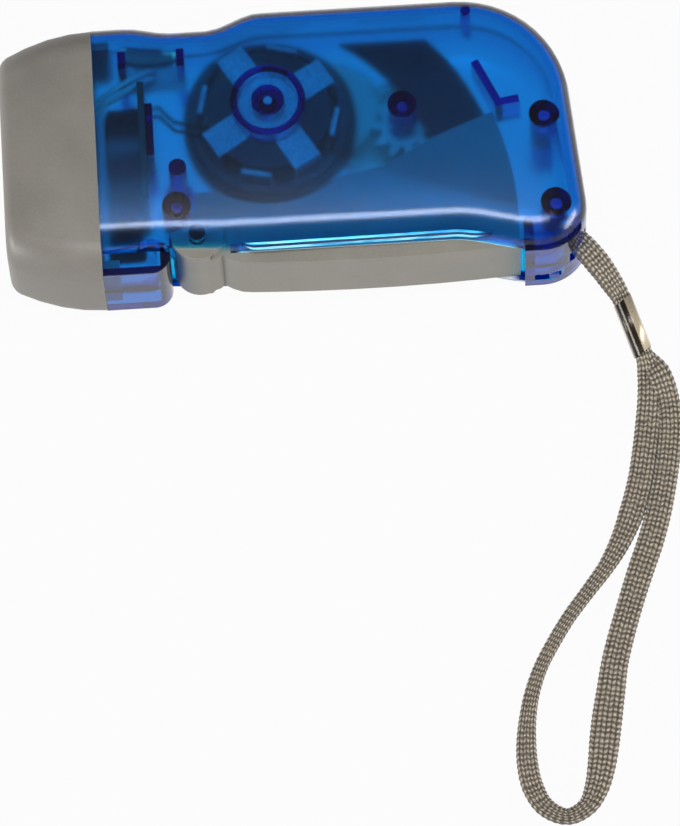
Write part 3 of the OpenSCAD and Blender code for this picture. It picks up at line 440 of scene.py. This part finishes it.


# Lip along the upper rim of the lever's slot: a moulded bead with two flat steps and a groove between.
# It is one piece with the upper half; its two flat steps are painted bright cyan as a painted highlight, and
# the rest dark navy as painted shade.
# Each point of its section has its reach out of the rim, its height and how strongly the painted highlight
# covers it.
rim_depth = 20.6
lip_start, lip_length, lip_back = 25.2, 45, 1.3
lip_rise = 0.008
bend_start, bend_length, bend_drop = 63.0, 15, 2.7
station_count = 60
lip_section = (
    (lip_back, 22.35, 0), (1.08, 22.56, 0.2), (1, 22.58, 1), (0.62, 22.38, 1), (0.54, 22.3, 0),
    (0.5, 22, 0), (0.28, 22, 0), (0.24, 22.03, 0.2), (0.18, 22.02, 1), (-0.12, 21.86, 1),
    (-0.2, 21.8, 0.3), (-0.24, 21.7, 0), (-0.16, 21.5, 0), (lip_back, 21.5, 0),
)
bm = bmesh.new()
highlight_paint_layer = bm.verts.layers.float.new("painted_highlight")
stations = []
for i in range(station_count + 1):
    x = lip_start + lip_length * i / station_count
    t = min(1, max(0, (x - bend_start) / bend_length))
    rim = -rim_depth - bend_drop * t * t * (3 - 2 * t) + lip_rise * (x - lip_start)
    reach = min(1, (i + 0.6) / 3, (station_count + 0.6 - i) / 5)
    station = bmesh.ops.create_circle(bm, segments=len(lip_section), radius=1)["verts"]
    for v, (out_by, z, painted_highlight) in zip(station, lip_section):
        v[highlight_paint_layer] = painted_highlight * reach
        v.co = place(x, rim + lip_back - (lip_back - out_by) * reach, z)
    stations.append({line for v in station for line in v.link_edges})
for first, second in zip(stations, stations[1:]):
    bmesh.ops.bridge_loops(bm, edges=list(first | second))
bmesh.ops.holes_fill(bm, edges=list(stations[0] | stations[-1]), sides=0)
bmesh.ops.recalc_face_normals(bm, faces=bm.faces)


def make_lip():
    finish, field = new_finish("slot_lip_painted_highlight")
    streak = field.node("TexNoise", None, {
        "Vector": field.node("Mapping", None, {"Vector": object_place(field), "Scale": (120, 900, 900)}),
        "Scale": 1, "Detail": 2,
    })
    painted_highlight = field.node("Attribute", {"attribute_name": "painted_highlight"}, out=2)
    # The flat steps are painted a streaked bright cyan as a painted highlight, and the rest dark navy as
    # painted shade.
    lit = streak.between(0.4, 0.62).blend((0.01, 0.36, 0.7, 1), (0.3, 0.82, 0.98, 1))
    end_with(field, field.node("BsdfPrincipled", None, {
        "Base Color": painted_highlight.between(0.3, 0.9).blend((0, 0.03, 0.12, 1), lit),
        "Roughness": streak * 0.2 + 0.14, "Normal": bump(field, streak, 0.02 * MM),
    }))
    return finish


lip = new_piece("slot_lip", bm, "housing")
lip.data.materials.append(make_lip())


# Grey mouldings: the head, the press lever and the switch's slider.
# They are opaque plastic, faintly grained, with rounded edges. The two that move are the same plastic painted
# a little paler, as painted light for the stronger light on the lever's front.
def make_moulding(name, light, dark, rough, grain_size, depth):
    finish, field = new_finish(name)
    fine = grain(field, grain_size, 3)
    cloud = grain(field, 9 * MM, 2)
    end_with(field, field.node("BsdfPrincipled", None, {
        "Base Color": (fine * 0.5 + cloud * 0.5).between(0.3, 0.7).blend(dark, light),
        "Roughness": cloud * 0.12 + rough,
        "Normal": bump(field, fine, depth),
    }))
    return finish


grey = make_moulding(
    "grey_moulding", colour(136, 131, 123), colour(124, 119, 112), 0.38, 0.3 * MM, 0.012 * MM
)
# Same plastic as the head, painted paler as painted light.
grey_painted_lighter = make_moulding(
    "grey_moulding_painted_lighter", colour(143, 139, 127), colour(131, 127, 116), 0.36, 0.3 * MM, 0.012 * MM
)
for name, node, body, edge, finish in (
    ("head", "head_bezel", "housing", 0.3 * MM, grey),
    ("press_lever", "lever", "lever_arm", 0.3 * MM, grey_painted_lighter),
    ("switch_button", "switch_slider", "slider", 0.2 * MM, grey_painted_lighter),
):
    piece = moulded_copy(name, node, body, edge)
    piece.data.materials.append(finish)


# Everything inside the case keeps its solid and gets its own finish.
# Plated steel, black and cream mouldings, copper, boards and lamps.
def make_metal(name, light, dark, rough):
    finish, field = new_finish(name)
    mark = grain(field, 0.5 * MM, 4)
    end_with(field, field.node("BsdfPrincipled", None, {
        "Base Color": mark.between(0.3, 0.7).blend(dark, light), "Metallic": 1,
        "Roughness": mark * 0.2 + rough, "Normal": bump(field, mark, 0.006 * MM),
    }))
    return finish


def dress(finish, *names):
    for name in names:
        nodes[name].data.materials.clear()
        nodes[name].data.materials.append(finish)


steel = make_metal("plated_steel", colour(205, 207, 210), colour(165, 168, 172), 0.3)
dress(steel, "switch_body", "return_spring", "rotor_shaft", "intermediate_axle",
      "stator_plate_upper", "stator_plate_lower")
dress(make_moulding("zinc_plate", colour(214, 216, 220), colour(186, 189, 194), 0.4, 0.4 * MM, 0.01 * MM),
      "case_screws", "gear_axle")
dress(make_metal("sintered_bronze", colour(190, 140, 80), colour(140, 95, 50), 0.35),
      "rotor_bush_upper", "rotor_bush_lower")
dress(make_metal("blued_steel", colour(96, 100, 112), colour(64, 68, 80), 0.3), "clutch_pawl", "pivot_pin")
dress(make_metal("enamelled_copper", colour(96, 56, 32), colour(66, 38, 22), 0.35),
      "coil_winding", "coil_leads")
dress(make_metal("chromed_reflector", colour(235, 236, 238), colour(215, 217, 220), 0.05), "reflector")
dress(make_moulding("black_moulding", colour(34, 34, 36), colour(20, 20, 22), 0.4, 0.3 * MM, 0.01 * MM),
      "switch_stem", "board_diodes", "drive_rack", "rechargeable_cell")
dress(make_moulding("flywheel_casting", colour(30, 30, 32), colour(14, 14, 15), 0.35, 0.4 * MM, 0.02 * MM),
      "flywheel")
dress(make_moulding("magnet_ferrite", colour(70, 70, 72), colour(48, 48, 50), 0.55, 0.2 * MM, 0.02 * MM),
      "ring_magnet")
cream = make_moulding(
    "cream_gear_plastic", colour(226, 222, 206), colour(206, 200, 182), 0.4, 0.3 * MM, 0.01 * MM
)
dress(cream, "rotor_pinion", "input_pinion", "drive_gear", "intermediate_gear")
dress(make_moulding("dark_bobbin", colour(40, 38, 36), colour(26, 25, 24), 0.45, 0.3 * MM, 0.01 * MM),
      "coil_bobbin")
dress(make_moulding("board_lacquer", colour(30, 62, 42), colour(18, 44, 28), 0.3, 0.5 * MM, 0.01 * MM),
      "led_board", "control_board")
dress(make_moulding("wire_sleeve", colour(222, 214, 198), colour(196, 186, 168), 0.45, 0.3 * MM, 0.01 * MM),
      "lamp_wires")


# Shade card: thin black board laid on the floor of the lower half, under the cell and its board, as painted
# shade where the case shows dark.
# It is cut from sheet, with round corners, and waves a little from end to end.
card_low = place(0.7, -14.5, 1.86)
card_high = place(7.7, 15.5, 2.08)
bm = bmesh.new()
bmesh.ops.create_grid(bm, x_segments=6, y_segments=20, size=0.5)
for v in bm.verts:
    lift = 0.06 * MM * math.cos(9 * v.co.y)
    v.co = Vector((
        card_low.x + (v.co.x + 0.5) * (card_high.x - card_low.x),
        card_low.y + (v.co.y + 0.5) * (card_high.y - card_low.y), card_low.z + 0.06 * MM + lift,
    ))
corners = [v for v in bm.verts if len(v.link_edges) == 2]
bmesh.ops.bevel(
    bm, geom=corners, offset=1.1 * MM, offset_type="OFFSET", segments=5, profile=0.5,
    affect="VERTICES", material=-1,
)
bmesh.ops.recalc_face_normals(bm, faces=bm.faces)
bmesh.ops.solidify(bm, geom=bm.faces[:], thickness=0.1 * MM)
painted_shade_sheet = new_piece("painted_shade_card", bm, "housing")
painted_shade_sheet.data.materials.append(make_moulding(
    "painted_shade_black", colour(40, 40, 42), colour(26, 26, 28), 0.7, 0.25 * MM, 0.02 * MM
))


# Lever catch: a small solid blue slider in the heel block, with its thumb pad outside.
# It is one moulding and runs in the block's own groove.
blue = make_moulding(
    "solid_blue_moulding", colour(24, 78, 176), colour(14, 58, 148), 0.35, 0.3 * MM, 0.01 * MM
)
piece = moulded_copy("catch_slider", "lever_catch", "catch", 0.15 * MM)
piece.data.materials.append(blue)


# Lens and lamps: clear moulded plastic and clear epoxy.
# The lens is seated in the head, and the lamps stand on their board behind it.
def make_clear(name, tint, rough):
    finish, field = new_finish(name)
    ripple = grain(field, 2 * MM, 2)
    glass = field.node("BsdfPrincipled", None, {
        "Base Color": tint, "Roughness": ripple * 0.05 + rough, "Transmission Weight": 1, "IOR": 1.45,
        "Normal": bump(field, ripple, 0.01 * MM, 0.3),
    })
    clear = field.node("BsdfTransparent", None, {"Color": tint})
    shadow = field.node("LightPath", out=1)
    end_with(field, field.node("MixShader", None, {0: shadow, 1: glass, 2: clear}))
    return finish


dress(make_clear("clear_lens", (0.95, 0.97, 1, 1), 0.02), "lens")
dress(make_clear("clear_epoxy", (0.93, 0.94, 1, 1), 0.04), "leds")


# Table and light: a white table that runs out of the picture, a dim sky, a lamp above and a box at each side.
# The table shows white to the camera, in gloss and through the clear case, and keeps a faint shadow.
def make_table():
    finish, field = new_finish("white_table")
    path = field.node("LightPath")
    rays = path.socket.node.outputs
    seen = Field(field.tree, rays["Is Camera Ray"])
    for kind in ("Is Glossy Ray", "Is Transmission Ray"):
        seen = field.maths("MAXIMUM", seen, Field(field.tree, rays[kind]))
    paper = field.node("BsdfDiffuse", None, {"Color": (0.35, 0.35, 0.35, 1)})
    glow = field.node("Emission", None, {"Color": (1, 1, 1, 1), "Strength": 1})
    end_with(field, field.node("MixShader", None, {0: seen * 0.96, 1: paper, 2: glow}))
    return finish


bm = bmesh.new()
bmesh.ops.create_grid(bm, x_segments=1, y_segments=1, size=3)
table_mesh = bpy.data.meshes.new("table")
bm.to_mesh(table_mesh)
bm.free()
table = bpy.data.objects.new("table", table_mesh)
bpy.context.scene.collection.objects.link(table)
table_mesh.materials.append(make_table())

sky = bpy.data.worlds.new("sky")
sky.use_nodes = True
sky_field = Field(sky.node_tree)
rise = sky_field.node("SeparateXYZ", None, {0: sky_field.node("TexCoord")}, 2)
sky_tone = rise.between(0.05, 0.6).blend((0.06, 0.09, 0.22, 1), (0.17, 0.17, 0.17, 1))
sky.node_tree.links.new(sky_tone.socket, sky.node_tree.nodes["Background"].inputs["Color"])
sky.node_tree.nodes["Background"].inputs["Strength"].default_value = 1
bpy.context.scene.world = sky


def soft_box(name, place_at, size, power):
    lamp = bpy.data.lights.new(name, "AREA")
    lamp.shape = "RECTANGLE"
    lamp.size, lamp.size_y = size
    lamp.energy = power
    made = bpy.data.objects.new(name, lamp)
    made.location = place_at
    aim = Vector((0.02, -0.02, 0)) - Vector(place_at)
    made.rotation_euler = aim.to_track_quat("-Z", "Y").to_euler()
    bpy.context.scene.collection.objects.link(made)


soft_box("over_lamp", (0.0, -0.06, 0.55), (0.24, 0.12), 1.4)
soft_box("right_box", (1.35, -0.5, 0.3), (0.9, 0.5), 20)
soft_box("left_box", (-1.35, -0.5, 0.3), (0.9, 0.5), 18)
